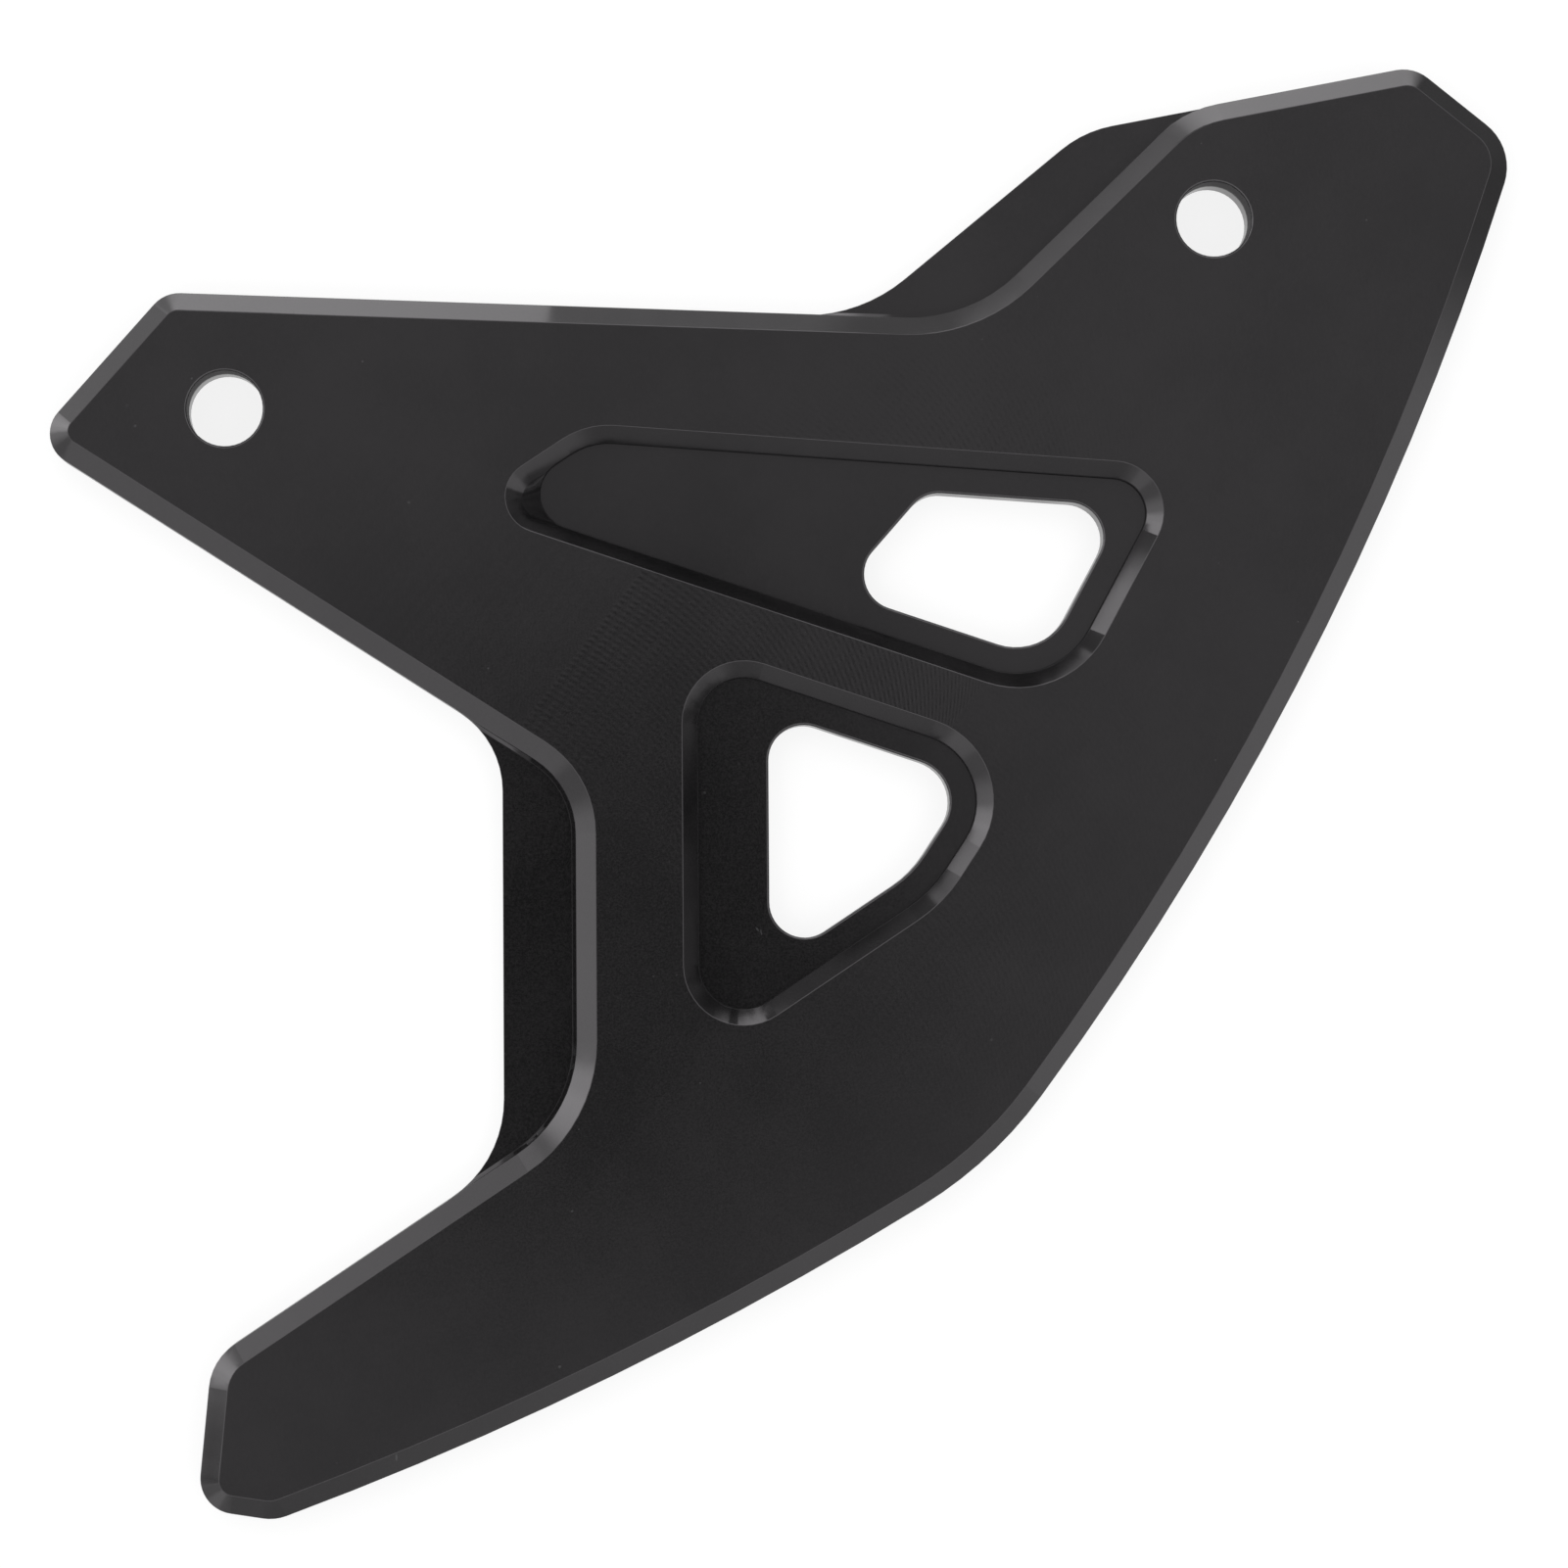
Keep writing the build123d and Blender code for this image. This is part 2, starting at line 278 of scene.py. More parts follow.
def make_mill_marks():
    """The arcs a face mill leaves: its circle moved along the cut again and again."""
    group, start, end = new_group("mill_marks", "ShaderNodeTree", [
        ("Vector", "NodeSocketVector", None),
        ("Radius", "NodeSocketFloat", 0.03),
        ("Spacing", "NodeSocketFloat", 0.0003),
        ("Pass Width", "NodeSocketFloat", 0.04),
        ("Overlap", "NodeSocketFloat", 0.0065),
        ("Band Width", "NodeSocketFloat", 0.0013),
        ("Fade Start", "NodeSocketFloat", 0.018),
        ("Fade End", "NodeSocketFloat", 0.034),
        ("Faded", "NodeSocketFloat", 0.12),
        ("Band Depth", "NodeSocketFloat", 0.4),
        ("Waver Scale", "NodeSocketFloat", 35.0),
        ("Patch Scale", "NodeSocketFloat", 26.0),
        ("Shallowest", "NodeSocketFloat", 0.35),
        ("Lighter Passes", "NodeSocketFloat", 3.0),
    ], [("Height", "NodeSocketFloat"), ("Pass", "NodeSocketFloat")])
    at = place(group, "ShaderNodeSeparateXYZ", {"Vector": start.outputs["Vector"]})
    overlap = start.outputs["Overlap"]
    row = maths(group, "DIVIDE", maths(group, "ADD", at.outputs["Y"], overlap), start.outputs["Pass Width"])
    number = maths(group, "FLOOR", row)
    within = maths(group, "MULTIPLY", maths(group, "SUBTRACT", row, number), start.outputs["Pass Width"])
    across = maths(group, "SUBTRACT", within, overlap)
    radius_squared = maths(group, "MULTIPLY", start.outputs["Radius"], start.outputs["Radius"])
    across_squared = maths(group, "MULTIPLY", across, across)
    bow = maths(group, "SQRT", maths(group, "SUBTRACT", radius_squared, across_squared))
    waver = place(group, "ShaderNodeTexNoise", {
        "Vector": start.outputs["Vector"], "Scale": start.outputs["Waver Scale"], "Detail": 2.0})
    drift = maths(group, "MULTIPLY", waver.outputs["Fac"], start.outputs["Spacing"])
    travel = maths(group, "ADD", maths(group, "ADD", at.outputs["X"], bow), drift)
    turn = maths(group, "MULTIPLY", maths(group, "DIVIDE", travel, start.outputs["Spacing"]), 2 * pi)
    ridge = maths(group, "MULTIPLY_ADD", maths(group, "SINE", turn), 0.5, 0.5)
    patches = place(group, "ShaderNodeTexNoise", {
        "Vector": start.outputs["Vector"], "Scale": start.outputs["Patch Scale"], "Detail": 3.0})
    depth = spread(group, patches.outputs["Fac"], *MARK_DEPTH_LIMITS, start.outputs["Shallowest"], 1.0)
    passes_off = maths(group, "ABSOLUTE", number)
    shallower = maths(group, "MULTIPLY_ADD", passes_off, start.outputs["Lighter Passes"], 1.0)
    depth = maths(group, "DIVIDE", depth, shallower)
    band_turn = maths(group, "MULTIPLY", maths(group, "DIVIDE", across, start.outputs["Band Width"]), 2 * pi)
    middle = maths(group, "SUBTRACT", 1.0, start.outputs["Band Depth"])
    bands = maths(group, "MULTIPLY_ADD", maths(group, "SINE", band_turn), start.outputs["Band Depth"], middle)
    depth = maths(group, "MULTIPLY", depth, bands)
    kept = spread(group, at.outputs["X"], start.outputs["Fade Start"], start.outputs["Fade End"],
                  1.0, start.outputs["Faded"])
    depth = maths(group, "MULTIPLY", depth, kept)
    group.links.new(maths(group, "MULTIPLY", ridge, depth), end.inputs["Height"])
    group.links.new(maths(group, "MINIMUM", passes_off, 1.0), end.inputs["Pass"])
    return group


def make_edge_streaks():
    """Fine lines across a bevel or wall, one after another along its edge."""
    group, start, end = new_group("edge_streaks", "ShaderNodeTree", [
        ("Along", "NodeSocketVector", None),
        ("Lines", "NodeSocketFloat", 2500.0),
        ("Lines Crosswise", "NodeSocketFloat", 120.0),
        ("Broad Share", "NodeSocketFloat", 0.12),
    ], [("Height", "NodeSocketFloat"), ("Tone", "NodeSocketFloat")])
    at = place(group, "ShaderNodeSeparateXYZ", {"Vector": start.outputs["Along"]})
    lengthwise = maths(group, "MULTIPLY", at.outputs["X"], start.outputs["Lines"])
    crosswise = maths(group, "MULTIPLY", at.outputs["Y"], start.outputs["Lines Crosswise"])
    stretched = place(group, "ShaderNodeCombineXYZ", {"X": lengthwise, "Y": crosswise})
    fine = place(group, "ShaderNodeTexNoise", {
        "Vector": stretched.outputs["Vector"], "Scale": 1.0, "Detail": 2.0}, noise_dimensions="2D")
    broad_at = place(group, "ShaderNodeVectorMath", {
        0: stretched.outputs["Vector"], "Scale": start.outputs["Broad Share"]}, operation="SCALE")
    broad = place(group, "ShaderNodeTexNoise", {
        "Vector": broad_at.outputs["Vector"], "Scale": 1.0, "Detail": 1.0}, noise_dimensions="2D")
    group.links.new(fine.outputs["Fac"], end.inputs["Height"])
    group.links.new(broad.outputs["Fac"], end.inputs["Tone"])
    return group


def make_scratch():
    """One short scratch through the dyed layer, seen in the plan: a thin ellipse."""
    group, start, end = new_group("scratch", "ShaderNodeTree", [
        ("Vector", "NodeSocketVector", None),
        ("Depth", "NodeSocketFloat", 1.0),
        ("Core", "NodeSocketFloat", 0.4),
    ], [("Mask", "NodeSocketFloat")])
    outward = place(group, "ShaderNodeVectorMath", {0: start.outputs["Vector"]}, operation="LENGTH")
    inside = spread(group, outward.outputs["Value"], 1.0, start.outputs["Core"])
    group.links.new(maths(group, "MULTIPLY", inside, start.outputs["Depth"]), end.inputs["Mask"])
    return group


# Finishes

def bare_metal_and_highlight(tree, settings, effects, here, layer, scratches):
    """Where the metal shows through the dyed layer: along the edges, in specks and in scratches. Along the
    edges this lighter colour is also a painted highlight.
    """
    # The edges are lighter here: scuffed metal and a painted highlight.
    wear_and_highlight = place(tree, "ShaderNodeAttribute", attribute_name="edge_wear_and_highlight")
    rub_and_highlight = use_group(tree, effects["edge_rub_and_highlight"], {
        "Vector": here, "Wear And Highlight": wear_and_highlight.outputs["Fac"], "Amount": settings.rubbing_and_highlight})
    bare_and_highlight = maths(tree, "MAXIMUM", rub_and_highlight.outputs["Rubbed And Highlight"], layer.outputs["Specks"])
    for spot, heading, half_length, half_width in scratches:
        beside = place(tree, "ShaderNodeMapping", {
            "Vector": here, "Location": (spot[0] * MM, spot[1] * MM, 0),
            "Rotation": (0, 0, radians(heading)), "Scale": (half_length * MM, half_width * MM, 1.0),
        }, vector_type="TEXTURE")
        scratch = use_group(tree, effects["scratch"], {"Vector": beside.outputs["Vector"]})
        bare_and_highlight = maths(tree, "MAXIMUM", bare_and_highlight, scratch.outputs["Mask"])
    return bare_and_highlight


def layer_colour(tree, settings, layer, bare_and_highlight):
    """The dyed layer's black, paler where it is thin, and the metal's lighter colour where the layer is gone,
    which along the edges is partly a painted highlight.
    """
    dyed = place(tree, "ShaderNodeMix", {
        "Factor": layer.outputs["Thinness"], "A": (*settings.black, 1.0), "B": (*settings.thin_black, 1.0),
    }, data_type="RGBA")
    colour = place(tree, "ShaderNodeMix", {
        "Factor": bare_and_highlight, "A": dyed.outputs["Result"], "B": (*settings.rubbed_and_highlight, 1.0)}, data_type="RGBA")
    return colour.outputs["Result"]


def make_finish(name, settings, effects, roughness, marks=None, streaks=0.0, grain=0.02, scratches=(),
                rougher_above=0.0):
    """Black anodised aluminium as one cutter left it.

    roughness is its lowest and highest value, marks the turn, offset and depth of the face mill's
    marks, streaks the depth of the lines across an edge, grain the depth of the fine grain, and
    rougher_above what a bolt has added to the roughness of the upper part of its hole.
    """
    material, tree = new_material(name)
    coords = place(tree, "ShaderNodeTexCoord")
    here = coords.outputs["Object"]
    layer = use_group(tree, effects["dyed_layer"], {"Vector": here})
    bare_and_highlight = bare_metal_and_highlight(tree, settings, effects, here, layer, scratches)
    colour = layer_colour(tree, settings, layer, bare_and_highlight)
    tone = layer.outputs["Grain"]
    height = maths(tree, "MULTIPLY", tone, grain)
    if marks:
        turned = place(tree, "ShaderNodeMapping", {
            "Vector": here, "Rotation": (0, 0, marks["turn"]), "Location": (*marks["offset"], 0),
        }, vector_type="TEXTURE")
        arcs = use_group(tree, effects["mill_marks"], {
            "Vector": turned.outputs["Vector"], "Radius": settings.cutter_radius,
            "Spacing": settings.mark_spacing, "Pass Width": settings.pass_width})
        height = maths(tree, "MULTIPLY_ADD", arcs.outputs["Height"], marks["depth"], height)
        tone = maths(tree, "MULTIPLY_ADD", arcs.outputs["Pass"], PASS_TONE, tone)
    if streaks:
        lines = use_group(tree, effects["edge_streaks"], {"Along": coords.outputs["UV"]})
        height = maths(tree, "MULTIPLY_ADD", lines.outputs["Height"], streaks, height)
        tone = lines.outputs["Tone"]
    rough = place(tree, "ShaderNodeMapRange", {
        "Value": tone, "From Min": ROUGHNESS_LIMITS[0], "From Max": ROUGHNESS_LIMITS[1],
        "To Min": roughness[0], "To Max": roughness[1]}).outputs["Result"]
    if rougher_above:
        level = place(tree, "ShaderNodeSeparateXYZ", {"Vector": here}).outputs["Z"]
        share = spread(tree, level, *RUBBED_BORE_HEIGHTS)
        rough = maths(tree, "MULTIPLY_ADD", share, rougher_above, rough)
    bump = place(tree, "ShaderNodeBump", {"Height": height, "Strength": 1.0, "Distance": BUMP_DEPTH})
    shader = place(tree, "ShaderNodeBsdfPrincipled", {
        "Base Color": colour, "Roughness": rough, "Normal": bump.outputs["Normal"],
        "IOR": LAYER_IOR, "Specular Tint": (*settings.reflection_tint, 1.0)})
    place(tree, "ShaderNodeOutputMaterial", {"Surface": shader.outputs["BSDF"]})
    return material


def make_finishes(settings):
    """The six finishes, in the order of FINISHES."""
    effects = {
        "dyed_layer": make_dyed_layer(),
        "edge_rub_and_highlight": make_edge_rub_and_highlight(),
        "mill_marks": make_mill_marks(),
        "edge_streaks": make_edge_streaks(),
        "scratch": make_scratch(),
    }
    return {
        "front": make_finish("face_milled_front", settings, effects, roughness=(0.14, 0.18),
                             marks=FRONT_MARKS, grain=0.06),
        "back": make_finish("face_milled_back", settings, effects, roughness=(0.24, 0.3),
                            marks=BACK_MARKS),
        "floor": make_finish("end_milled_floor", settings, effects, roughness=(0.1, 0.14),
                             scratches=SCRATCHES["floor"]),
        "bevel": make_finish("milled_bevel", settings, effects, roughness=(0.1, 0.13),
                             streaks=0.02, scratches=SCRATCHES["bevel"]),
        "wall": make_finish("side_milled_wall", settings, effects, roughness=(0.2, 0.26),
                            streaks=0.05),
        "bore": make_finish("drilled_bore", settings, effects, roughness=(0.16, 0.22),
                            streaks=0.05, rougher_above=0.55),
    }


# Plate

def packed_skin(node):
    """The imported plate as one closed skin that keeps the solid's own normals on its corners."""
    skin = bmesh.new()
    skin.from_mesh(node.data)
    solid_normal = skin.loops.layers.float_vector.new("solid_normal")
    corner = 0
    for face in skin.faces:
        for loop in face.loops:
            loop[solid_normal] = node.data.corner_normals[corner].vector
            corner += 1
    bmesh.ops.remove_doubles(skin, verts=skin.verts, dist=WELD_DISTANCE)
    return skin


def border_of(group):
    """The edges that a cut shares with other cuts."""
    members = set(group)
    return {edge for face in group for edge in face.edges
            if any(other not in members for other in edge.link_faces)}


def in_bolt_hole(group):
    """Whether a wall is that of a bolt hole."""
    points = [vert.co.xy for face in group for vert in face.verts]
    for bore in BOLT_BORES:
        centre = Vector(bore["pos_m"]).xy
        reach = BORE_MARGIN * bore["dims"]["r_mm"] * MM
        if all((point - centre).length < reach for point in points):
            return True
    return False


def kind_of(group):
    """The kind of a cut: its place in FINISHES."""
    area = sum(face.calc_area() for face in group)
    tilt = sum(abs(face.normal.z) * face.calc_area() for face in group) / area
    height = sum(face.calc_center_median().z * face.calc_area() for face in group) / area
    steepest, flattest = BEVEL_TILTS
    if tilt <= steepest:
        return FINISHES.index("bore" if in_bolt_hole(group) else "wall")
    if tilt < flattest:
        return FINISHES.index("bevel")
    if height < FACE_MARGIN:
        return FINISHES.index("back")
    return FINISHES.index("front" if height > CAD_BOX[1][2] - FACE_MARGIN else "floor")


def cuts_of(skin, widest_fold):
    """The faces grouped by the cut that made them: a cut ends where the skin folds."""
    cut = skin.faces.layers.int.new("cut")
    kind = skin.faces.layers.int.new("cut_kind")
    groups = []
    seen = set()
    for start in skin.faces:
        if start in seen:
            continue
        seen.add(start)
        group = [start]
        for face in group:
            for edge in face.edges:
                if edge.calc_face_angle(0) > widest_fold:
                    continue
                for other in edge.link_faces:
                    if other not in seen:
                        seen.add(other)
                        group.append(other)
        for face in group:
            face[cut] = len(groups)
            face[kind] = kind_of(group)
        groups.append(group)
    return groups


def longest_level_border(group):
    """The points round a cut at the height where its border is longest, in order."""
    levels = {}
    for edge in border_of(group):
        first, second = edge.verts
        if abs(first.co.z - second.co.z) < LEVEL_EDGE:
            levels.setdefault(round(first.co.z / HEIGHT_STEP), []).append(edge)
    if not levels:
        return []
    edges = max(levels.values(), key=lambda ring: sum(edge.calc_length() for edge in ring))
    beside = {}
    for edge in edges:
        for vert in edge.verts:
            beside.setdefault(vert, []).append(edge.other_vert(vert))
    ring = [edges[0].verts[0]]
    while True:
        onward = [vert for vert in beside[ring[-1]] if vert not in ring[-2:]]
        if not onward or onward[0] is ring[0]:
            break
        ring.append(onward[0])
    return [vert.co.xy for vert in ring] + [ring[0].co.xy]


def map_along(skin, groups):
    """A UV map for the bevels and walls: how far along the edge, and how high."""
    uv = skin.loops.layers.uv.new("along_edge")
    for group in groups:
        if kind_of(group) < FINISHES.index("bevel"):
            continue
        ring = longest_level_border(group)
        if len(ring) < 4:
            continue
        starts = np.array(ring[:-1])
        sides = np.array(ring[1:]) - starts
        lengths = np.hypot(*sides.T)
        reached = np.concatenate([[0.0], np.cumsum(lengths)])
        for face in group:
            places = []
            for loop in face.loops:
                offset = np.array(loop.vert.co.xy) - starts
                share = np.clip((offset * sides).sum(1) / lengths**2, 0, 1)
                nearest = np.argmin(np.hypot(*(offset - sides * share[:, None]).T))
                places.append(reached[nearest] + share[nearest] * lengths[nearest])
            highest = max(places)
            for loop, at in zip(face.loops, places):
                if highest - at > reached[-1] / 2:
                    at += reached[-1]
                loop[uv].uv = (at, loop.vert.co.z)


def add_bands(skin, groups, band):
    """A narrow band inside the border of every cut that is wide enough, for the lighter edges: scuffed metal
    and a painted highlight.
    """
    cut = skin.faces.layers.int["cut"]
    kind = skin.faces.layers.int["cut_kind"]
    for number, group in enumerate(groups):
        length = sum(edge.calc_length() for edge in border_of(group))
        if 2 * sum(face.calc_area() for face in group) / length < NARROWEST_CUT * band:
            continue
        finish = group[0][kind]
        level = [face for face in group if abs(face.normal.z) > LEVEL]
        rim = bmesh.ops.inset_region(
            skin, faces=level or group, thickness=band,
            use_even_offset=True, use_interpolate=True)["faces"]
        for face in rim:
            face[cut] = number
            face[kind] = finish


def rounded_corner(level):
    """The faces of the rounded corner that runs round a level floor."""
    floor_height = level[0].verts[0].co.z
    lowest = floor_height - HEIGHT_STEP
    highest = floor_height + CORNER_RADIUS + HEIGHT_STEP
    found = list(level)
    seen = set(found)
    for face in found:
        for other in (other for vert in face.verts for other in vert.link_faces):
            if other in seen or any(not lowest < vert.co.z < highest for vert in other.verts):
                continue
            seen.add(other)
            found.append(other)
    return [face for face in found if face.normal.z < LEVEL]


def sharpen_corners(skin, groups):
    """Keeps the floors' corners crisp, and lets the rim's bevel run on over the nose's step.

    The nose's step is the one level cut without rounded corners: its points take the
    normals of the bevel and the wall beside it.
    """
    solid_normal = skin.loops.layers.float_vector["solid_normal"]
    kind = skin.faces.layers.int["cut_kind"]
    for group in groups:
        level = [face for face in group if face.normal.z > LEVEL]
        if group[0][kind] != FINISHES.index("floor") or not level:
            continue
        if len(level) == len(group):
            for loop in (loop for face in group for loop in face.loops):
                beside = [face.normal for face in loop.vert.link_faces if face.normal.z < LEVEL]
                if beside:
                    loop[solid_normal] = sum(beside, Vector()).normalized()
            continue
        for face in rounded_corner(level):
            flatter = face.normal.z > CORNER_SPLIT
            face[kind] = FINISHES.index("floor" if flatter else "wall")
            for loop in face.loops:
                lean = Vector((*loop[solid_normal].xy, 0))
                if flatter:
                    loop[solid_normal] = Vector((0, 0, 1))
                elif lean.length > SHORTEST_LEAN:
                    loop[solid_normal] = lean.normalized()


def soften_edges(skin, widest_fold):
    """Gives each point of an outward edge one normal for all of its cuts, so that it looks rounded."""
    cut = skin.faces.layers.int["cut"]
    solid_normal = skin.loops.layers.float_vector["solid_normal"]
    for vert in skin.verts:
        folds = [edge.calc_face_angle_signed(0) for edge in vert.link_edges]
        if max(folds) <= widest_fold or min(folds) < -widest_fold:
            continue
        sides = {}
        for loop in vert.link_loops:
            sides.setdefault(loop.face[cut], Vector())
            sides[loop.face[cut]] += loop[solid_normal]
        shared = sum((side.normalized() for side in sides.values()), Vector()).normalized()
        for loop in vert.link_loops:
            loop[solid_normal] = shared


def make_finishing_tree(finishes):
    """Marks the points on outward edges for scuffing and a painted highlight, and gives each cut its finish.
    """
    group, start, end = new_group("edge_wear_highlight_and_finish", "GeometryNodeTree", [
        ("Geometry", "NodeSocketGeometry", None),
        ("Widest Smooth Fold", "NodeSocketFloat", 0.4),
        *[(name.title(), "NodeSocketMaterial", None) for name in finishes],
    ], [("Geometry", "NodeSocketGeometry")])
    fold = place(group, "GeometryNodeInputMeshEdgeAngle")
    sharp = place(group, "FunctionNodeCompare", {
        "A": fold.outputs["Signed Angle"], "B": start.outputs["Widest Smooth Fold"],
    }, data_type="FLOAT", operation="GREATER_THAN")
    on_edges = place(group, "GeometryNodeFieldOnDomain", data_type="BOOLEAN", domain="EDGE")
    group.links.new(sharp.outputs["Result"], on_edges.inputs["Value"])
    store = place(group, "GeometryNodeStoreNamedAttribute", {
        "Geometry": start.outputs["Geometry"], "Name": "edge_wear_and_highlight",
    }, data_type="FLOAT", domain="POINT")
    group.links.new(on_edges.outputs["Value"], store.inputs["Value"])
    real = place(group, "GeometryNodeRealizeInstances", {"Geometry": store.outputs["Geometry"]})
    kind = place(group, "GeometryNodeInputNamedAttribute", {"Name": "cut_kind"}, data_type="INT")
    plate = real.outputs["Geometry"]
    for number, name in enumerate(finishes):
        chosen = place(group, "FunctionNodeCompare", data_type="INT", operation="EQUAL")
        group.links.new(kind.outputs["Attribute"], chosen.inputs[2])
        chosen.inputs[3].default_value = number
        dress = place(group, "GeometryNodeSetMaterial", {
            "Geometry": plate, "Selection": chosen.outputs["Result"],
            "Material": start.outputs[name.title()]})
        plate = dress.outputs["Geometry"]
    group.links.new(plate, end.inputs["Geometry"])
    return group


def finish_plate(context, mesh, normals, settings):
    """Runs the finishing tree over the plate and keeps what it makes as a plain mesh."""
    finishes = make_finishes(settings)
    plate = bpy.data.objects.new("milled_plate", mesh)
    context.scene.collection.objects.link(plate)
    tree = make_finishing_tree(finishes)
    modifier = plate.modifiers.new("finish", "NODES")
    modifier.node_group = tree
    values = {"Widest Smooth Fold": settings.widest_fold}
    values.update({name.title(): finishes[name] for name in finishes})
    for socket in tree.interface.items_tree:
        if socket.in_out == "INPUT" and socket.name in values:
            modifier[socket.identifier] = values[socket.name]
    finished = plate.evaluated_get(context.evaluated_depsgraph_get())
    made = bpy.data.meshes.new_from_object(finished)
    plate.modifiers.remove(modifier)
    plate.data = made
    made.name = "milled_plate"
    made.normals_split_custom_set(normals)
    return plate


class GUARD_OT_plate(bpy.types.Operator):
    """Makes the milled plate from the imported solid, with softened edges and its finishes"""
    bl_idname = "guard.plate"
    bl_label = "Milled Plate"

    def execute(self, context):
        settings = context.scene.guard
        skin = packed_skin(frame["nodes"][GUARD_NODE])
        groups = cuts_of(skin, settings.widest_fold)
        map_along(skin, groups)
        sharpen_corners(skin, groups)
        add_bands(skin, groups, settings.edge_band)
        soften_edges(skin, settings.widest_fold)
        solid_normal = skin.loops.layers.float_vector["solid_normal"]
        normals = []
        for face in skin.faces:
            face.smooth = True
            normals += [loop[solid_normal].copy() for loop in face.loops]
        skin.loops.layers.float_vector.remove(solid_normal)
        mesh = bpy.data.meshes.new("milled_plate_skin")
        skin.to_mesh(mesh)
        skin.free()
        plate = finish_plate(context, mesh, normals, settings)
        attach(plate, "root")
        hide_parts(GUARD_NODE)
        return {"FINISHED"}


# Studio

PHOTO_TURN = radians(11.19)        # how far the bolt line stands above level in the picture
SENSOR_WIDTH = 36.0                # of the camera, in mm
FLOOR_GAP = 0.02 * MM              # between the floor and the plate's underside
WHITE_PAPER = 0.82                 # how white the camera sees the floor before any light falls on it
SHADED_PAPER = (0.25, 0.25, 0.25)  # the colour that shows the plate's shadow on it

# The sky by the height of a direction, from 1 straight up to -1 straight down
ABOVE_HEIGHTS = (0.25, 0.6)        # the sides' light gives way to the top's between these
BELOW_HEIGHTS = (-0.3, -0.6)       # and here to the light from below
BELOW_LEVEL = 0.8
OVERHEAD_HEIGHTS = (0.84, 0.94)    # the top darkens between these
OVERHEAD_DARK = 0.7

# The darker patch round the camera: an ellipse, which fades between two shares of its size
CAMERA_DARK_TURN = radians(60)
CAMERA_DARK_SIZE = (radians(5.2), radians(4.4))
CAMERA_DARK_FADE = (1.12, 0.72)
CAMERA_DARK_LEVEL = 0.39


def make_floor(context, studio):
    """A plain pale floor that the camera sees white and that keeps the plate's shadow."""
    half = studio.floor_size / 2
    mesh = bpy.data.meshes.new("pale_floor")
    corners = [(x, y, -FLOOR_GAP) for x, y in ((-half, -half), (half, -half), (half, half), (-half, half))]
    mesh.from_pydata(corners, [], [(0, 1, 2, 3)])
    floor = bpy.data.objects.new("pale_floor", mesh)
    context.scene.collection.objects.link(floor)
    material, tree = new_material("pale_floor")
    path = place(tree, "ShaderNodeLightPath")
    paper = place(tree, "ShaderNodeBsdfDiffuse", {"Color": (*studio.floor_colour, 1.0)})
    shaded = place(tree, "ShaderNodeBsdfDiffuse", {"Color": (*SHADED_PAPER, 1.0)})
    white = place(tree, "ShaderNodeEmission", {"Strength": WHITE_PAPER})
    seen = place(tree, "ShaderNodeAddShader", {0: shaded.outputs["BSDF"], 1: white.outputs["Emission"]})
    either = place(tree, "ShaderNodeMixShader", {
        0: path.outputs["Is Camera Ray"], 1: paper.outputs["BSDF"], 2: seen.outputs["Shader"]})
    place(tree, "ShaderNodeOutputMaterial", {"Surface": either.outputs["Shader"]})
    floor.data.materials.append(material)
    floor.visible_glossy = False


# Soft boxes round the plate: heading in the picture, half width, fade and level
SOFT_BOXES = (
    ("north_box", 89, 1, 32, 1.2),
    ("north_glow", 112, 18, 24, 0.35),
    ("north_west_glow", 145, 13, 19, 0.3),
    ("west_box", 157, 9, 20, 1.0),
    ("west_glow", 170, 1, 32, 0.62),
    ("south_west_glow", 229, 5, 14, 0.28),
    ("south_shade", 272, 2, 30, -0.2),
    ("south_east_glow", 318, 16, 39, 0.09),
    ("east_glow", 338, 9, 16, 0.2),
    ("east_shade", 24, 31, 35.5, -0.36),
)

# Cards and flags that glow dimly beside the plate, seen only in its gloss: painted shade that stands
# for shaded patches round it. Corners in mm, then where along the first side the level changes, and its
# level before and after. The flags stand. The cards lie just under the floor, which the gloss doesn't see
SHADE_CARDS = (
    ("north_card",
     ((-15.2, 20.8, -0.05), (31.3, 12.0, -0.05), (43.7, 76.8, -0.05), (-2.8, 85.6, -0.05)),
     (0.66, 0.8), (0.69, 0.42)),
    ("west_card",
     ((-119.0, -94.0, -0.05), (-124.0, -123.0, -0.05), (-183.0, -112.0, -0.05), (-178.0, -83.0, -0.05)),
     (0.0, 0.5), (0.8, 0.2)),
    ("north_west_flag",
     ((-73.0, 84.0, 4.0), (-39.5, 77.8, 4.0), (-39.5, 77.8, 45.0), (-73.0, 84.0, 45.0)),
     (0.0, 1.0), (0.22, 0.22)),
    ("north_flag",
     ((34.5, 64.0, 4.0), (58.7, 59.5, 4.0), (58.7, 59.5, 45.0), (34.5, 64.0, 45.0)),
     (0.0, 1.0), (0.25, 0.25)),
)


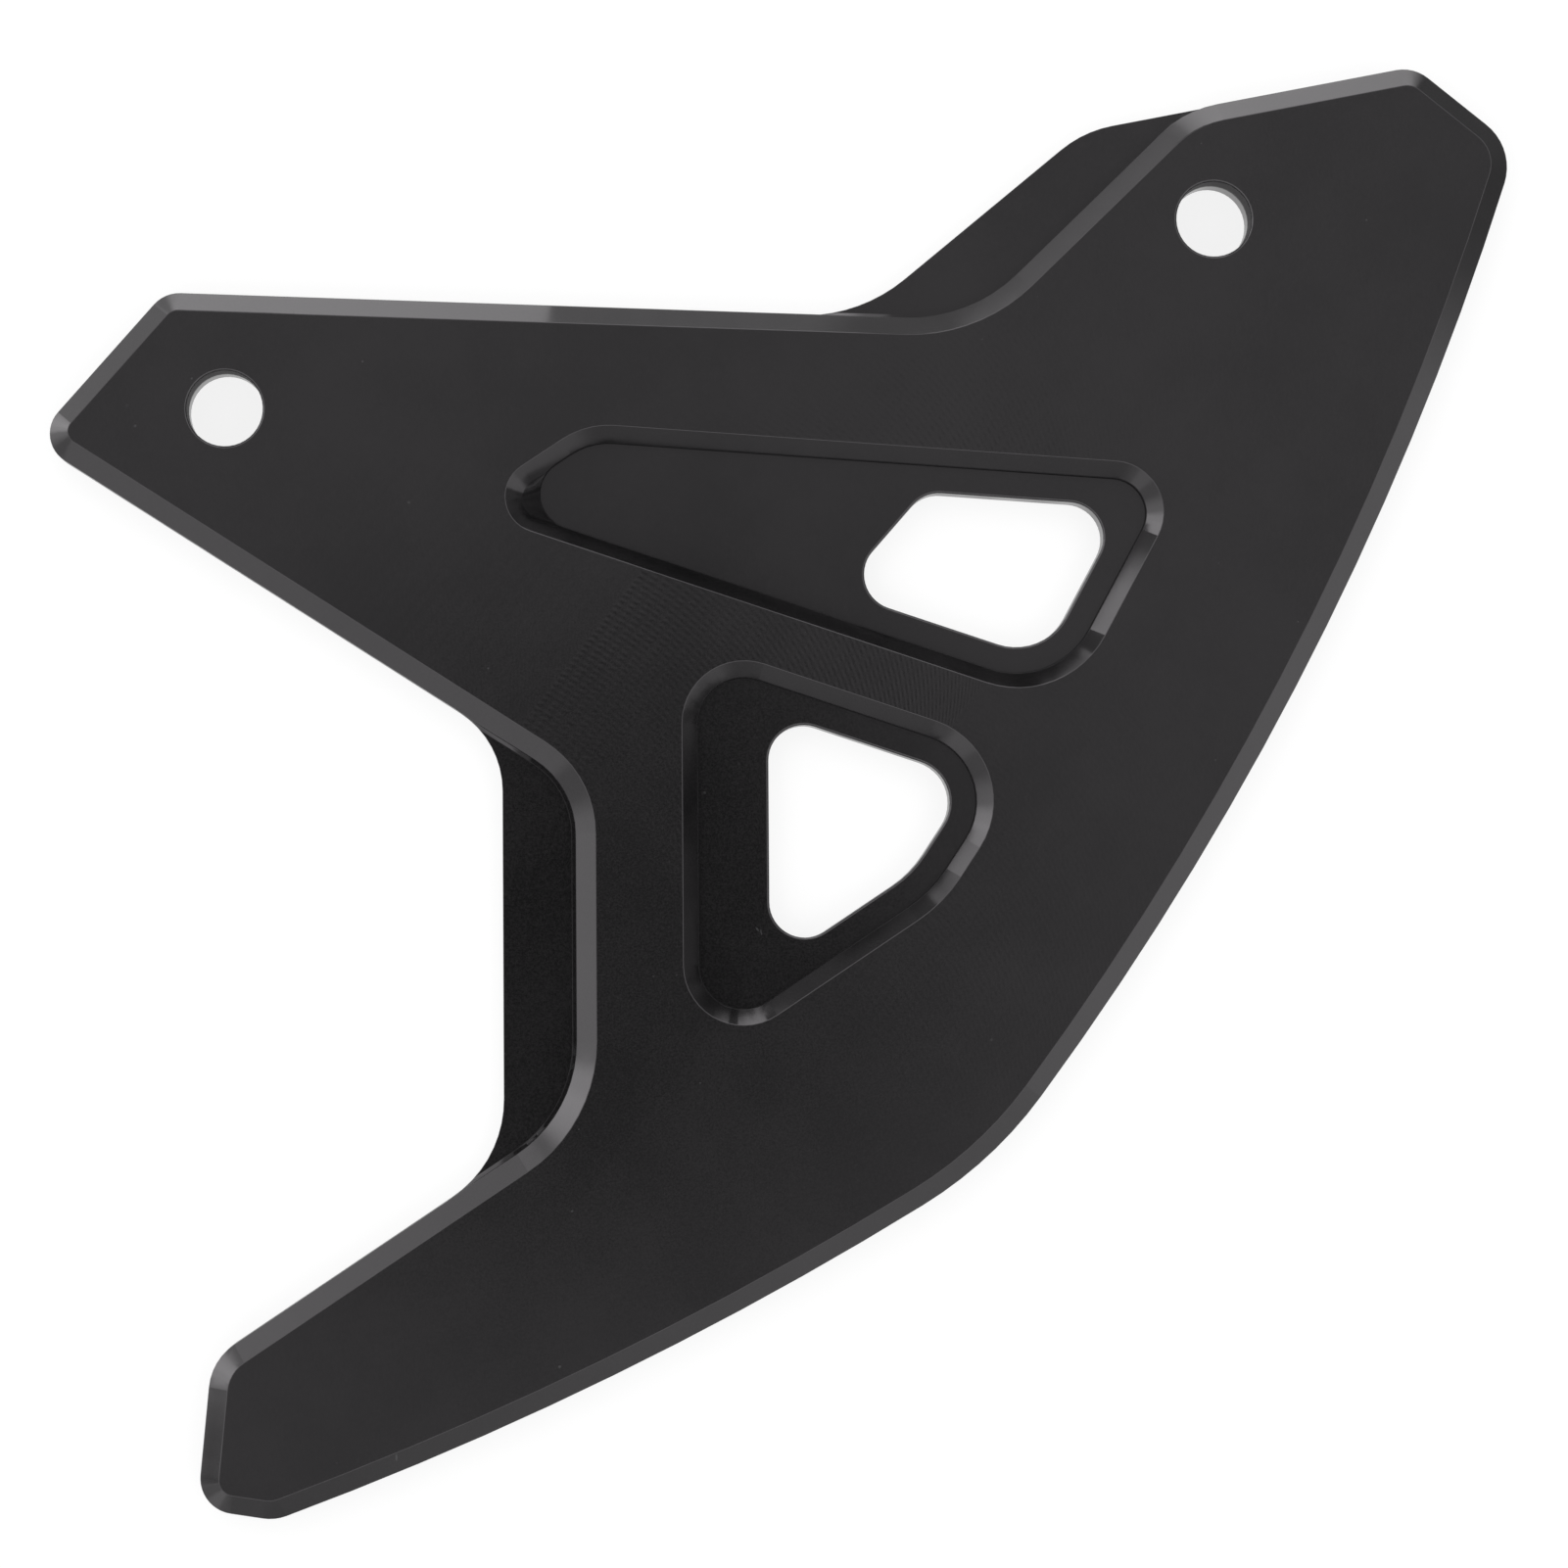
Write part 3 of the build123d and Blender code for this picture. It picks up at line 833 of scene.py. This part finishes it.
def make_shade_card(context, name, corners, change, levels):
    """A card that glows at its levels: painted shade that only the plate's gloss sees."""
    mesh = bpy.data.meshes.new(name)
    mesh.from_pydata([Vector(corner) * MM for corner in corners], [], [(0, 1, 2, 3)])
    uv = mesh.uv_layers.new(name="along_card")
    for loop, at in zip(uv.data, ((0, 0), (1, 0), (1, 1), (0, 1))):
        loop.uv = at
    material, tree = new_material(name)
    coords = place(tree, "ShaderNodeTexCoord")
    along = place(tree, "ShaderNodeSeparateXYZ", {"Vector": coords.outputs["UV"]})
    strength = spread(tree, along.outputs["X"], *change, *levels)
    light = place(tree, "ShaderNodeEmission", {"Strength": strength})
    place(tree, "ShaderNodeOutputMaterial", {"Surface": light.outputs["Emission"]})
    mesh.materials.append(material)
    card = bpy.data.objects.new(name, mesh)
    context.scene.collection.objects.link(card)
    card.visible_camera = False
    card.visible_diffuse = False
    card.visible_shadow = False


def make_soft_box():
    """The light of one soft box, by how near a direction is to it on the compass."""
    group, start, end = new_group("soft_box", "ShaderNodeTree", [
        ("Heading", "NodeSocketVector", None),
        ("Toward", "NodeSocketVector", None),
        ("Full", "NodeSocketFloat", 1.0),
        ("Faded", "NodeSocketFloat", 0.9),
        ("Level", "NodeSocketFloat", 1.0),
    ], [("Light", "NodeSocketFloat")])
    near = place(group, "ShaderNodeVectorMath", {
        0: start.outputs["Heading"], 1: start.outputs["Toward"]}, operation="DOT_PRODUCT")
    light = spread(group, near.outputs["Value"], start.outputs["Faded"], start.outputs["Full"],
                   0.0, start.outputs["Level"])
    group.links.new(light, end.inputs["Light"])
    return group


def make_sky(context, studio):
    """Soft light from all round with soft boxes, darker straight above where the camera stands."""
    world = bpy.data.worlds.new("studio_sky")
    context.scene.world = world
    world.use_nodes = True
    tree = world.node_tree
    tree.nodes.clear()
    direction = place(tree, "ShaderNodeTexCoord").outputs["Generated"]
    parts = place(tree, "ShaderNodeSeparateXYZ", {"Vector": direction})
    height = parts.outputs["Z"]
    flat = place(tree, "ShaderNodeCombineXYZ", {"X": parts.outputs["X"], "Y": parts.outputs["Y"]})
    heading = place(tree, "ShaderNodeVectorMath", {0: flat.outputs["Vector"]}, operation="NORMALIZE")
    soft_box = make_soft_box()
    level = studio.round_level
    for name, bearing, half_width, fade, strength in SOFT_BOXES:
        angle = radians(bearing) - PHOTO_TURN
        box = use_group(tree, soft_box, {
            "Heading": heading.outputs["Vector"], "Toward": (cos(angle), sin(angle), 0),
            "Full": cos(radians(half_width)), "Faded": cos(radians(fade)), "Level": strength})
        box.name = name
        level = maths(tree, "ADD", box.outputs["Light"], level)
    above = spread(tree, height, *ABOVE_HEIGHTS)
    below = spread(tree, height, *BELOW_HEIGHTS)
    beside = maths(tree, "SUBTRACT", maths(tree, "SUBTRACT", 1.0, above), below)
    level = maths(tree, "MULTIPLY", level, beside)
    level = maths(tree, "MULTIPLY_ADD", above, studio.sky_level, level)
    level = maths(tree, "MULTIPLY_ADD", below, BELOW_LEVEL, level)
    level = maths(tree, "SUBTRACT", level, spread(tree, height, *OVERHEAD_HEIGHTS, 0.0, OVERHEAD_DARK))
    patch = place(tree, "ShaderNodeMapping", {
        "Vector": flat.outputs["Vector"], "Rotation": (0, 0, CAMERA_DARK_TURN - PHOTO_TURN),
        "Scale": (sin(CAMERA_DARK_SIZE[0]), sin(CAMERA_DARK_SIZE[1]), 1.0)}, vector_type="TEXTURE")
    outward = place(tree, "ShaderNodeVectorMath", {0: patch.outputs["Vector"]}, operation="LENGTH")
    dark = spread(tree, outward.outputs["Value"], *CAMERA_DARK_FADE, 0.0, CAMERA_DARK_LEVEL)
    level = maths(tree, "SUBTRACT", level, maths(tree, "MULTIPLY", dark, above))
    path = place(tree, "ShaderNodeLightPath")
    seen = place(tree, "ShaderNodeMix", {
        "Factor": path.outputs["Is Camera Ray"], "A": level, "B": 1.0}, data_type="FLOAT")
    sky = place(tree, "ShaderNodeBackground", {
        "Color": (1.0, 1.0, 1.0, 1.0), "Strength": seen.outputs["Result"]})
    place(tree, "ShaderNodeOutputWorld", {"Surface": sky.outputs["Background"]})


def add_camera(context, studio):
    """The camera of the photograph, high above the plate and a little tilted."""
    camera = bpy.data.cameras.new("camera")
    camera.sensor_width = SENSOR_WIDTH
    camera.sensor_fit = "HORIZONTAL"
    camera.lens = studio.camera_lens
    camera.clip_start = 0.01
    camera.clip_end = 20.0
    holder = bpy.data.objects.new("camera", camera)
    holder.location = studio.camera_place
    holder.rotation_euler = studio.camera_turn
    context.scene.collection.objects.link(holder)
    context.scene.camera = holder


class GUARD_OT_studio(bpy.types.Operator):
    """Sets the pale floor, the soft light and the camera"""
    bl_idname = "guard.studio"
    bl_label = "Studio"

    def execute(self, context):
        studio = context.scene.guard_studio
        make_floor(context, studio)
        for card in SHADE_CARDS:
            make_shade_card(context, *card)
        make_sky(context, studio)
        add_camera(context, studio)
        context.scene.view_settings.view_transform = "Standard"
        return {"FINISHED"}


class GUARD_PT_panel(bpy.types.Panel):
    """Lists the plate, the studio and their settings"""
    bl_label = "Disc Guard"
    bl_idname = "GUARD_PT_panel"
    bl_space_type = "VIEW_3D"
    bl_region_type = "UI"
    bl_category = "Disc Guard"

    def draw(self, context):
        for settings, button in (
            (context.scene.guard, GUARD_OT_plate),
            (context.scene.guard_studio, GUARD_OT_studio),
        ):
            box = self.layout.box()
            for name in settings.__annotations__:
                box.prop(settings, name)
            box.operator(button.bl_idname)


CLASSES = (GuardSettings, StudioSettings, GUARD_OT_plate, GUARD_OT_studio, GUARD_PT_panel)


def register():
    for kind in CLASSES:
        bpy.utils.register_class(kind)
    bpy.types.Scene.guard = bpy.props.PointerProperty(type=GuardSettings)
    bpy.types.Scene.guard_studio = bpy.props.PointerProperty(type=StudioSettings)


def unregister():
    del bpy.types.Scene.guard_studio
    del bpy.types.Scene.guard
    for kind in reversed(CLASSES):
        bpy.utils.unregister_class(kind)


def main():
    """Makes the plate and the studio."""
    register()
    bpy.ops.guard.plate()
    bpy.ops.guard.studio()


if __name__ == "__main__":
    main()
